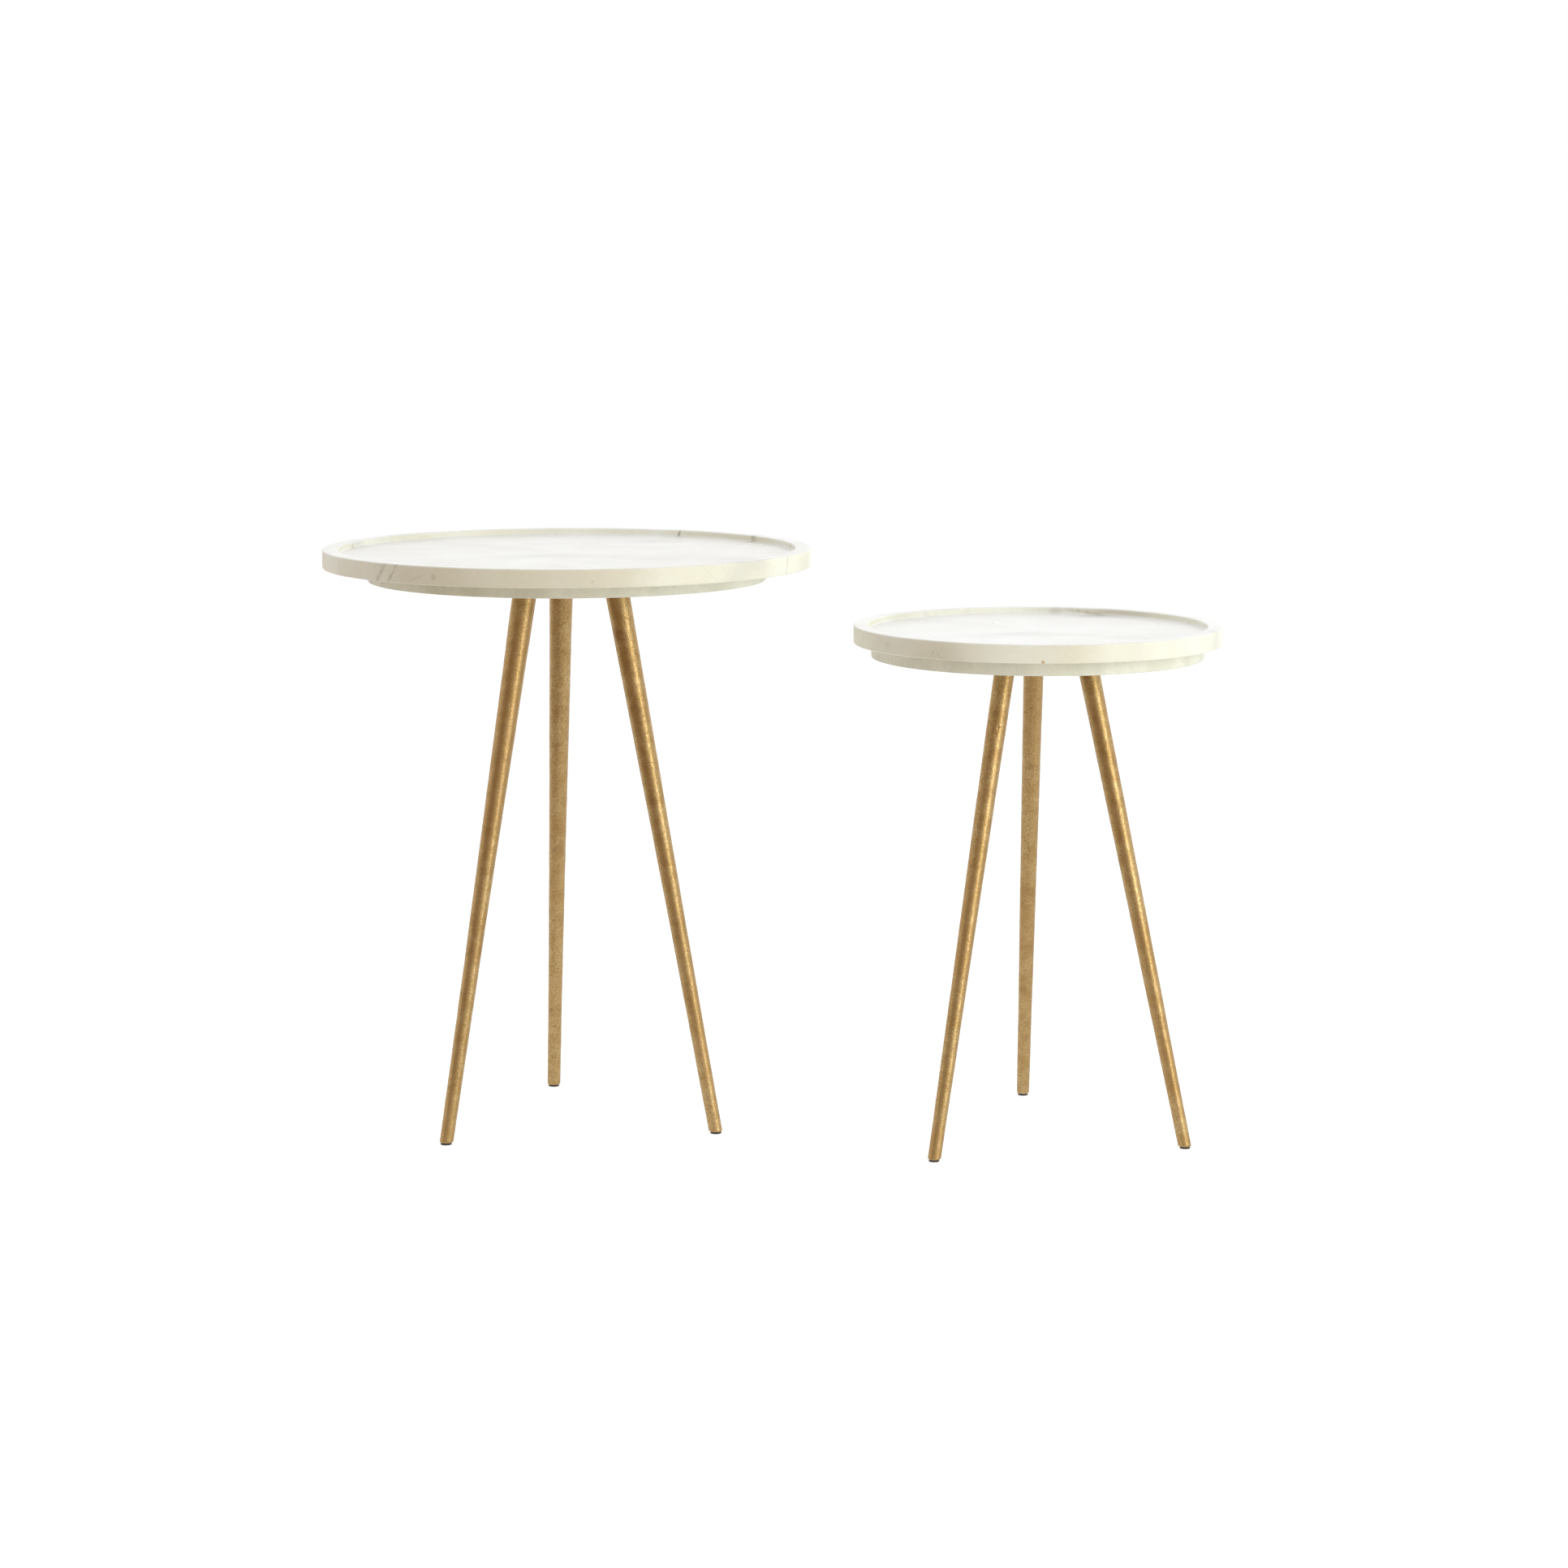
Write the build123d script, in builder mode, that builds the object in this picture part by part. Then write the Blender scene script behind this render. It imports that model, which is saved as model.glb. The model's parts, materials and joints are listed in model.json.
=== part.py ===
from build123d import *
from math import cos, radians, sin, sqrt
import os

# A pair of round marble-topped tripod tables. The lower one tucks under the taller one.
# +X runs from the large table to the small one and +Z is up. The floor is z = 0.
# The origin is on the floor, in the middle of the pair's length and depth.

# ---------------------------------------------------------------- driving dimensions, mm
large_diameter = 457.0  # across the large tray
small_diameter = 342.0  # across the small tray
large_height = 550.0  # floor to rim
small_height = 482.0
centre_distance = 441.0  # between the two tables as they stand side by side

# Polished marble tray: a disc with a shallow serving recess inside a flat rim
band_height = 17.0  # the outer band that shows from the side
recess_depth = 5.5
large_rim_width = 15.0
small_rim_width = 14.0
arris_radius = 1.3  # the eased edges of the band and the rim
recess_corner_radius = 2.0  # left by the grinding wheel where the recess meets the rim

# Honed stone disc bonded under the tray, which holds the legs
disc_thickness = 12.5
large_disc_setback = 42.0  # tray edge to disc edge
small_disc_setback = 16.5
disc_arris_radius = 0.8
bond_thickness = 0.5  # resin between tray and disc
bond_setback = 0.6  # the resin stops just inside the disc's edge

# Three cast legs, splayed outwards
leg_names = ("right", "back", "left")
large_leg_turns = (-15.0, 106.0, 227.0)  # degrees from +X, seen from above
small_leg_turns = (-20.0, 96.0, 236.0)  # its legs were drilled by hand, less evenly
large_hip_radius = 48.5  # leg axis to table axis, at the disc's underside
large_foot_radius = 149.0  # leg axis to table axis, at the floor
small_hip_radius = 49.0
small_foot_radius = 153.0
large_leg_top = 22.9  # leg diameters: at the disc, just below it, half way and at the foot
large_leg_neck = 21.8
large_leg_middle = 16.2
large_leg_foot = 12.7
small_leg_top = 19.4
small_leg_neck = 18.6
small_leg_middle = 15.2
small_leg_foot = 12.0
neck_drop = 40.0  # from the disc down to the neck
foot_arris_radius = 1.2

# M8 stud that screws each leg to its insert in the disc
stud_diameter = 8.0
stud_chamfer = 0.8
stud_in_leg = 26.0
thread_clearance = 0.05  # radial, between a stud and the thread it is in
stud_end_gap = 1.5  # free depth beyond a stud's end
insert_diameter = 13.0
insert_inset = 0.3  # from the disc's underside up to the insert's lowest edge
insert_clearance = 0.05  # radial, filled with resin
insert_floor_gap = 0.3  # free depth above the insert
insert_roof = 0.8  # stone left over the insert's hole
groove_count = 2  # keys for the resin round each insert
groove_width = 1.5
groove_depth = 0.6

# Glued foot pad
pad_thickness = 2.0
pad_setback = 1.2  # leg edge to pad edge
pad_arris_radius = 0.4

trim = 6.0  # spare length on a solid before it is cut to a plane


def export(solid, node):
    solid.label = node
    export_step(solid, f"parts/{node}.step")


def leg_plane(centre, turn, hip_radius, foot_radius, hip_height):
    """The plane at a leg's hip: its normal runs up the leg's axis, its x away from the table."""
    out = Vector(cos(radians(turn)), sin(radians(turn)), 0)
    hip = centre + out * hip_radius + Vector(0, 0, hip_height)
    foot = centre + out * foot_radius
    up = (hip - foot).normalized()
    return Plane(origin=hip, x_dir=(out - up * out.dot(up)).normalized(), z_dir=up)


def insert_span(hip):
    """Where the insert starts and ends along the leg's axis, inside the disc's thickness."""
    cosine = hip.z_dir.Z
    edge_rise = (insert_diameter / 2 + insert_clearance) * sqrt(1 - cosine**2) / cosine
    start = edge_rise + insert_inset
    end = (disc_thickness - insert_roof) / cosine - edge_rise - insert_floor_gap
    return start, end


def make_tray(node, centre, diameter, height, rim_width):
    with BuildPart() as tray:
        with BuildSketch(Plane.XY.offset(height - band_height)):
            with Locations((centre.X, centre.Y)):
                Circle(diameter / 2)
        extrude(amount=band_height)
        with BuildSketch(Plane.XY.offset(height)):
            with Locations((centre.X, centre.Y)):
                Circle(diameter / 2 - rim_width)
        extrude(amount=-recess_depth, mode=Mode.SUBTRACT)
        levels = tray.faces().filter_by(Plane.XY).sort_by(Axis.Z)
        underside, serving_floor, rim = levels
        fillet(serving_floor.edges(), recess_corner_radius)
        fillet(rim.edges() + underside.edges(), arris_radius)
    export(tray.part, node)


def make_bond(node, centre, disc_diameter, bond_bottom):
    with BuildPart() as bond:
        with BuildSketch(Plane.XY.offset(bond_bottom)):
            with Locations((centre.X, centre.Y)):
                Circle(disc_diameter / 2 - bond_setback)
        extrude(amount=bond_thickness)
    export(bond.part, node)


def make_disc(node, centre, disc_diameter, hip_height, hips):
    with BuildPart() as disc:
        with BuildSketch(Plane.XY.offset(hip_height)):
            with Locations((centre.X, centre.Y)):
                Circle(disc_diameter / 2)
        extrude(amount=disc_thickness)
        fillet(disc.edges().filter_by(GeomType.CIRCLE), disc_arris_radius)
        for hip in hips:
            hole_depth = insert_span(hip)[1] + insert_floor_gap
            with BuildSketch(hip.offset(hole_depth)):
                Circle(insert_diameter / 2 + insert_clearance)
            extrude(amount=-(hole_depth + trim), mode=Mode.SUBTRACT)
    export(disc.part, node)


def make_leg(node, hip, hip_height, top, neck, middle, foot):
    length = (hip.origin.Z - pad_thickness) / hip.z_dir.Z
    profile_plane = Plane(origin=hip.origin, x_dir=hip.x_dir, z_dir=hip.x_dir.cross(hip.z_dir))
    with BuildPart() as leg:
        with BuildSketch(profile_plane):
            with BuildLine():
                side = Spline(
                    (top / 2, trim),
                    (neck / 2, -neck_drop),
                    (middle / 2, -(length + neck_drop) / 2),
                    (foot / 2, -length - trim),
                )
                Polyline(side @ 0, (0, trim), (0, -length - trim), side @ 1)
            make_face()
        revolve(axis=Axis(hip.origin, hip.z_dir))
        split(bisect_by=Plane.XY.offset(hip_height), keep=Keep.BOTTOM)
        split(bisect_by=Plane.XY.offset(pad_thickness), keep=Keep.TOP)
        fillet(leg.faces().sort_by(Axis.Z)[0].edges(), foot_arris_radius)
        with BuildSketch(hip.offset(trim)):
            Circle(stud_diameter / 2 + thread_clearance)
        extrude(amount=-(trim + stud_in_leg + stud_end_gap), mode=Mode.SUBTRACT)
    export(leg.part, node)


def make_stud(node, hip):
    top = insert_span(hip)[1]
    with BuildPart() as stud:
        with BuildSketch(hip.offset(-stud_in_leg)):
            Circle(stud_diameter / 2)
        extrude(amount=stud_in_leg + top)
        chamfer(stud.edges().filter_by(GeomType.CIRCLE), stud_chamfer)
    export(stud.part, node)


def make_insert(node, hip):
    start, end = insert_span(hip)
    groove_pitch = (end - start) / (groove_count + 1)
    with BuildPart() as insert:
        with BuildSketch(hip.offset(start)):
            Circle(insert_diameter / 2)
            Circle(stud_diameter / 2 + thread_clearance, mode=Mode.SUBTRACT)
        extrude(amount=end - start)
        for groove in range(groove_count):
            groove_middle = start + groove_pitch * (groove + 1)
            with BuildSketch(hip.offset(groove_middle - groove_width / 2)):
                Circle(insert_diameter / 2)
                Circle(insert_diameter / 2 - groove_depth, mode=Mode.SUBTRACT)
            extrude(amount=groove_width, mode=Mode.SUBTRACT)
    export(insert.part, node)


def make_pad(node, hip, foot):
    drop = (hip.origin.Z - pad_thickness) / hip.z_dir.Z
    sole = hip.origin - hip.z_dir * drop
    with BuildPart() as pad:
        with BuildSketch(Plane.XY):
            with Locations((sole.X, sole.Y)):
                Circle(foot / 2 - pad_setback)
        extrude(amount=pad_thickness)
        fillet(pad.faces().sort_by(Axis.Z)[0].edges(), pad_arris_radius)
    export(pad.part, node)


def make_table(
    size,
    centre_x,
    diameter,
    height,
    rim_width,
    disc_setback,
    leg_turns,
    hip_radius,
    foot_radius,
    leg_diameters,
):
    centre = Vector(centre_x, 0, 0)
    bond_bottom = height - band_height - bond_thickness
    hip_height = bond_bottom - disc_thickness
    disc_diameter = diameter - 2 * disc_setback
    hips = [leg_plane(centre, turn, hip_radius, foot_radius, hip_height) for turn in leg_turns]

    make_tray(f"{size}_tray", centre, diameter, height, rim_width)
    make_bond(f"{size}_resin_bond", centre, disc_diameter, bond_bottom)
    make_disc(f"{size}_base_disc", centre, disc_diameter, hip_height, hips)
    for name, hip in zip(leg_names, hips):
        make_leg(f"{size}_leg_{name}", hip, hip_height, *leg_diameters)
        make_stud(f"{size}_stud_{name}", hip)
        make_insert(f"{size}_insert_{name}", hip)
        make_pad(f"{size}_foot_pad_{name}", hip, leg_diameters[-1])


os.makedirs("parts", exist_ok=True)

# The pair's overall box is centred on the origin.
middle_x = (large_diameter - small_diameter) / 4
make_table(
    "large",
    middle_x - centre_distance / 2,
    large_diameter,
    large_height,
    large_rim_width,
    large_disc_setback,
    large_leg_turns,
    large_hip_radius,
    large_foot_radius,
    (large_leg_top, large_leg_neck, large_leg_middle, large_leg_foot),
)
make_table(
    "small",
    middle_x + centre_distance / 2,
    small_diameter,
    small_height,
    small_rim_width,
    small_disc_setback,
    small_leg_turns,
    small_hip_radius,
    small_foot_radius,
    (small_leg_top, small_leg_neck, small_leg_middle, small_leg_foot),
)
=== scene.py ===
import json
import math
import bpy
import numpy as np
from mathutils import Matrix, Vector


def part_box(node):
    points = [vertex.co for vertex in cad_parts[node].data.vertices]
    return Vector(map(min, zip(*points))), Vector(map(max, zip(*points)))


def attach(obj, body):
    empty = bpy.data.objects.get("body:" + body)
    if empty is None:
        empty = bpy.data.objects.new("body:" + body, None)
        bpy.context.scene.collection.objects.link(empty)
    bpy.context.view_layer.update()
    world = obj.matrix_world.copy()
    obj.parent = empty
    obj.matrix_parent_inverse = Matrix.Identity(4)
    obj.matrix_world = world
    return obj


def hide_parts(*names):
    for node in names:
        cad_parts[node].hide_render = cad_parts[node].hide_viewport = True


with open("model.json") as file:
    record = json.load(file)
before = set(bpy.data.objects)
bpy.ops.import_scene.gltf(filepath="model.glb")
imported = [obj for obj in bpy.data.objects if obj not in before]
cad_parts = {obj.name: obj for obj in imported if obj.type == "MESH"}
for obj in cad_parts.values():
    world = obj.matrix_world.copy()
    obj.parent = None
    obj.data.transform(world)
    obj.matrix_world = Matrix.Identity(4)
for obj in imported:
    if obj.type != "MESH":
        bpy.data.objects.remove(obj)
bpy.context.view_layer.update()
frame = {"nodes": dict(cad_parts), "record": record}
scene = bpy.context.scene
scene.view_settings.view_transform = "Standard"

MM = 0.001

# Sizes that only the looks need, in millimetres.
ARRIS = 1.3            # rounding on every edge of a tray
RECESS_CORNER = 2.0    # radius where the recess floor turns up into the rim
RIM_WIDTH = {"large": 15.0, "small": 14.0}
FOOT_ARRIS = 1.2       # rounding round the sole of a leg
BEND = 9.0             # how far the marble's veins stray from flat sheets
STUD_HOLE = 8.1        # diameter of the hole in a leg for its stud
LEG_NAMES = ("right", "back", "left")

# How finely the visible meshes are cut, and how many small faults they carry.
TRAY_AROUND = {"large": 1080, "small": 900}
SEAM_AROUND = 900
LEG_AROUND = 96
LEG_RINGS = 680
CHIPS = 26
BEADS = 7
HUB = 0.004            # metres: radius of the ring next to the middle of a tray
BORE_LIMIT = 0.0045    # metres: nearer the axis than this, a leg's surface is its stud hole
LEVEL = 1e-5           # metres: how flat a leg's end is taken to be

# First seeds of the three kinds of hand-made unevenness.
TRAY_SEED, SEAM_SEED, LEG_SEED = 11, 21, 31

# The way to the dim room, from the tables: to the front and the left.
ROOM_X, ROOM_Y = -0.42, -0.90


# ---------------------------------------------------------------- camera

def set_camera():
    """A long lens a little above the tray tops, looking slightly down and slightly to the left."""
    data = bpy.data.cameras.new("studio_camera")
    data.sensor_width = 36
    data.lens = 88.95
    data.clip_end = 100
    camera = bpy.data.objects.new("studio_camera", data)
    scene.collection.objects.link(camera)
    camera.location = (0.386, -3.584, 0.864)
    camera.rotation_euler = (math.radians(90 - 8.452), 0, math.radians(5.95))
    scene.camera = camera


set_camera()


# ---------------------------------------------------------------- small helpers

def linear(hex_colour):
    """An sRGB hex colour as linear red, green, blue and alpha."""
    parts = [int(hex_colour[i:i + 2], 16) / 255 for i in (1, 3, 5)]
    return [c / 12.92 if c <= 0.04045 else ((c + 0.055) / 1.055) ** 2.4 for c in parts] + [1.0]


def per(mm):
    """The texture scale that makes one feature this many millimetres across."""
    return 1000.0 / mm


def add(tree, kind, sockets=None, **settings):
    """Adds a node, sets its properties, and fills or links its input sockets."""
    node = tree.nodes.new(kind)
    for name, value in settings.items():
        setattr(node, name, value)
    for name, value in (sockets or {}).items():
        if isinstance(value, bpy.types.NodeSocket):
            tree.links.new(value, node.inputs[name])
        elif isinstance(value, str):
            node.inputs[name].default_value = linear(value)
        else:
            node.inputs[name].default_value = value
    return node


def blend(tree, amount, first, second):
    """The colour that goes from first to second as the amount goes from 0 to 1."""
    return add(tree, "ShaderNodeMix", {0: amount, 6: first, 7: second}, data_type="RGBA").outputs[2]


def new_material(name):
    """An empty node material and its tree."""
    material = bpy.data.materials.new(name)
    material.use_nodes = True
    material.node_tree.nodes.clear()
    return material, material.node_tree


def vertices_of(node):
    """Vertex positions of a CAD node at rest, in metres."""
    mesh = frame["nodes"][node].data
    flat = np.zeros(len(mesh.vertices) * 3, np.float32)
    mesh.vertices.foreach_get("co", flat)
    return flat.reshape(-1, 3).astype(float)


def lumps(points, size, seed):
    """Smooth random lumps of about this size in metres, from -1 to 1, the same on every run."""
    q = points / size + seed * 7.31
    cell = np.floor(q)
    f = q - cell
    f = f * f * (3 - 2 * f)
    total = np.zeros(len(points))
    for corner in np.ndindex(2, 2, 2):
        value = np.sin((cell + corner) @ np.array((127.1, 311.7, 74.7)) + seed) * 43758.5453
        value = 2 * (value - np.floor(value)) - 1
        weight = np.prod(np.where(np.array(corner) == 1, f, 1 - f), axis=1)
        total += weight * value
    return total


def mesh_piece(name, points, faces, sharp_angle=None):
    """A smooth-shaded mesh object in the row frame, with edges sharper than the angle kept crisp."""
    mesh = bpy.data.meshes.new(name)
    mesh.from_pydata(points.tolist(), [], faces)
    mesh.validate()
    mesh.shade_smooth()
    if sharp_angle is not None:
        mesh.set_sharp_from_angle(angle=math.radians(sharp_angle))
    piece = bpy.data.objects.new(name, mesh)
    scene.collection.objects.link(piece)
    return piece


def ring_faces(rings, around):
    """Quads between successive rings of the same number of points."""
    faces = []
    for i in range(rings - 1):
        low = i * around
        high = low + around
        for k in range(around):
            nxt = (k + 1) % around
            faces.append((low + k, low + nxt, high + nxt, high + k))
    return faces


def turned_faces(rings, around):
    """Faces of a closed turned shape: its rings, then a fan at each end to a point of its own, which
    are the two points after the rings."""
    faces = ring_faces(rings, around)
    first_hub = rings * around
    last = first_hub - around
    for k in range(around):
        nxt = (k + 1) % around
        faces.append((nxt, k, first_hub))
        faces.append((last + k, last + nxt, first_hub + 1))
    return [f[::-1] for f in faces]


# ---------------------------------------------------------------- materials

def on_rim(outer, bearing, inset, height):
    """A point on or inside a tray's rim, from its table's middle: bearing in degrees counter-clockwise
    from the right, inset in millimetres from the outer edge, height from the tray's middle."""
    turn = math.radians(bearing)
    reach = outer - inset * MM
    return (reach * math.cos(turn), reach * math.sin(turn), height * MM)


def polished_marble(name, centre, outer, face_tones_with_painted_reflection, veins, flecks, painted_shade_tans):
    """Polished white marble: a cream stone whose top face is painted a cooler white, a painted reflection
    of the white backdrop, with soft grey clouds and wisps, painted warm shade on parts of the cut edge, a
    few thin grey-brown veins that run through the stone, and a soft gloss."""
    material, tree = new_material(name)
    here = add(tree, "ShaderNodeTexCoord").outputs["Object"]
    local = add(tree, "ShaderNodeMapping", {"Vector": here, "Location": [-c for c in centre]}).outputs[0]
    swirl = add(tree, "ShaderNodeTexNoise", {"Vector": local, "Scale": per(45), "Detail": 5.0}).outputs[1]
    bent = add(tree, "ShaderNodeVectorMath", {0: swirl, 1: (BEND * MM,) * 3, 2: local},
               operation="MULTIPLY_ADD").outputs[0]

    # Cream cut edge in the stone's own colour, and a top face painted a cooler white, a painted reflection
    # of the white backdrop; each with broad drifts of tone about 70 mm across.
    drift = add(tree, "ShaderNodeTexNoise", {"Vector": local, "Scale": per(70), "Detail": 3.0}).outputs[0]
    drift = add(tree, "ShaderNodeMapRange", {"Value": drift, "From Min": 0.38, "From Max": 0.62}).outputs[0]
    face_with_painted_reflection = blend(tree, drift, face_tones_with_painted_reflection[0], face_tones_with_painted_reflection[1])
    edge = blend(tree, drift, "#F5F5E9", "#F0EEDC")
    # Painted shade: warm darker patches on the cut edge round these bearings, where the walls lie in shade.
    for bearing, radius, amount in painted_shade_tans:
        away = add(tree, "ShaderNodeVectorMath", {0: local, 1: on_rim(outer, bearing, 0, 0)},
                   operation="DISTANCE").outputs["Value"]
        near = add(tree, "ShaderNodeMapRange", {"Value": away, "From Min": 0.0, "From Max": radius * MM,
                   "To Min": amount, "To Max": 0.0}, interpolation_type="SMOOTHSTEP").outputs[0]
        edge = blend(tree, near, edge, "#D3C49C")
    normal = add(tree, "ShaderNodeNewGeometry").outputs["Normal"]
    rise = add(tree, "ShaderNodeSeparateXYZ", {0: normal}).outputs["Z"]
    upward = add(tree, "ShaderNodeMapRange", {"Value": rise, "From Min": 0.35, "From Max": 0.95}).outputs[0]
    # Upward faces take the cooler white: this is the painted reflection on the top.
    colour = blend(tree, upward, edge, face_with_painted_reflection)

    # Soft grey clouds about 50 mm across, drawn out along one diagonal, that come and go.
    laid = add(tree, "ShaderNodeMapping", {"Vector": bent, "Rotation": (0.2, 0.3, math.radians(38)),
               "Scale": (per(120), per(52), per(60))}).outputs[0]
    cloud = add(tree, "ShaderNodeTexNoise", {"Vector": laid, "Scale": 1.0, "Detail": 2.0,
                "Roughness": 0.4, "Distortion": 0.3}).outputs[0]
    soft = add(tree, "ShaderNodeMapRange", {"Value": cloud, "From Min": 0.42, "From Max": 0.72,
               "To Max": 0.38}, interpolation_type="SMOOTHSTEP").outputs[0]
    # Wisps: the thin crests where the same clouds fold over.
    fold = add(tree, "ShaderNodeTexNoise", {"Vector": laid, "Scale": 1.3, "Detail": 4.0,
               "Roughness": 0.5, "Distortion": 0.5}).outputs[0]
    fold = add(tree, "ShaderNodeMath", {0: fold, 1: 0.5}, operation="SUBTRACT").outputs[0]
    fold = add(tree, "ShaderNodeMath", {0: fold}, operation="ABSOLUTE").outputs[0]
    wisp = add(tree, "ShaderNodeMapRange", {"Value": fold, "From Min": 0.0, "From Max": 0.035,
               "To Min": 0.20, "To Max": 0.0}, interpolation_type="SMOOTHSTEP").outputs[0]
    patch = add(tree, "ShaderNodeTexNoise", {"Vector": local, "Scale": per(120), "Detail": 2.0}).outputs[0]
    patch = add(tree, "ShaderNodeMapRange", {"Value": patch, "From Min": 0.40, "From Max": 0.62}).outputs[0]
    grey = add(tree, "ShaderNodeMath", {0: soft, 1: wisp}, operation="MAXIMUM").outputs[0]
    grey = add(tree, "ShaderNodeMath", {0: grey, 1: patch}, operation="MULTIPLY").outputs[0]
    colour = blend(tree, grey, colour, "#BEBDBD")

    # Crystal cloudiness, 5 mm grains drawn coarser than the real half millimetre so that it shows.
    grain = add(tree, "ShaderNodeTexNoise", {"Vector": local, "Scale": per(5), "Detail": 6.0,
                "Roughness": 0.7}).outputs[0]
    grain = add(tree, "ShaderNodeMapRange", {"Value": grain, "From Min": 0.3, "From Max": 0.7,
                "To Min": 0.975, "To Max": 1.015}).outputs[0]
    colour = add(tree, "ShaderNodeVectorMath", {0: colour, "Scale": grain}, operation="SCALE").outputs[0]

    # Veins are thin crumpled sheets through the stone, each kept to the stretch where it shows.
    for bearing, inset, height, lean, width, reach, amount, tone in veins:
        seat = on_rim(outer, bearing, inset, height)
        turn, tip = math.radians(bearing), math.radians(lean)
        facing = (-math.sin(turn) * math.cos(tip), math.cos(turn) * math.cos(tip), -math.sin(tip))
        from_it = add(tree, "ShaderNodeVectorMath", {0: bent, 1: facing},
                      operation="DOT_PRODUCT").outputs["Value"]
        # The bend adds half of its strength to every coordinate on average, so that much comes off.
        level = sum(f * (p + BEND / 2 * MM) for f, p in zip(facing, seat))
        off = add(tree, "ShaderNodeMath", {0: from_it, 1: level}, operation="SUBTRACT").outputs[0]
        off = add(tree, "ShaderNodeMath", {0: off}, operation="ABSOLUTE").outputs[0]
        core = add(tree, "ShaderNodeMapRange", {"Value": off, "From Min": 0.0, "From Max": width * MM,
                   "To Min": amount, "To Max": 0.0}, interpolation_type="SMOOTHSTEP").outputs[0]
        away = add(tree, "ShaderNodeVectorMath", {0: local, 1: seat}, operation="DISTANCE").outputs["Value"]
        held = add(tree, "ShaderNodeMapRange", {"Value": away, "From Min": 0.2 * reach * MM,
                   "From Max": reach * MM, "To Min": 1.0, "To Max": 0.0},
                   interpolation_type="SMOOTHSTEP").outputs[0]
        broken = add(tree, "ShaderNodeTexNoise", {"Vector": local, "Scale": per(7),
                     "Detail": 4.0}).outputs[0]
        broken = add(tree, "ShaderNodeMapRange", {"Value": broken, "From Min": 0.30,
                     "From Max": 0.58}).outputs[0]
        core = add(tree, "ShaderNodeMath", {0: core, 1: held}, operation="MULTIPLY").outputs[0]
        core = add(tree, "ShaderNodeMath", {0: core, 1: broken}, operation="MULTIPLY").outputs[0]
        colour = blend(tree, core, colour, tone)

    # Small mineral flecks where the quarry block had them.
    for bearing, inset, height, radius, amount, tone in flecks:
        seat = [c + BEND / 2 * MM for c in on_rim(outer, bearing, inset, height)]
        away = add(tree, "ShaderNodeVectorMath", {0: bent, 1: seat}, operation="DISTANCE").outputs["Value"]
        spot = add(tree, "ShaderNodeMapRange", {"Value": away, "From Min": 0.3 * radius * MM,
                   "From Max": radius * MM, "To Min": amount, "To Max": 0.0},
                   interpolation_type="SMOOTHSTEP").outputs[0]
        colour = blend(tree, spot, colour, tone)

    # The face is polished and the edge only rubbed down; both are very gently uneven.
    shine = add(tree, "ShaderNodeTexNoise", {"Vector": local, "Scale": per(40), "Detail": 4.0}).outputs[0]
    face_shine = add(tree, "ShaderNodeMapRange", {"Value": shine, "From Min": 0.3, "From Max": 0.7,
                     "To Min": 0.27, "To Max": 0.33}).outputs[0]
    edge_shine = add(tree, "ShaderNodeMapRange", {"Value": shine, "From Min": 0.3, "From Max": 0.7,
                     "To Min": 0.42, "To Max": 0.52}).outputs[0]
    shine = add(tree, "ShaderNodeMix", {0: upward, 2: edge_shine, 3: face_shine},
                data_type="FLOAT").outputs[0]
    uneven = add(tree, "ShaderNodeTexNoise", {"Vector": local, "Scale": per(24), "Detail": 3.0}).outputs[0]
    relief = add(tree, "ShaderNodeMapRange", {"Value": upward, "To Min": 0.25, "To Max": 0.05}).outputs[0]
    bump = add(tree, "ShaderNodeBump", {"Height": uneven, "Strength": relief,
               "Distance": 0.0003}).outputs[0]
    surface = add(tree, "ShaderNodeBsdfPrincipled", {"Base Color": colour, "Roughness": shine,
                  "IOR": 1.55, "Normal": bump})
    add(tree, "ShaderNodeOutputMaterial", {"Surface": surface.outputs[0]})
    return material


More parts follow.
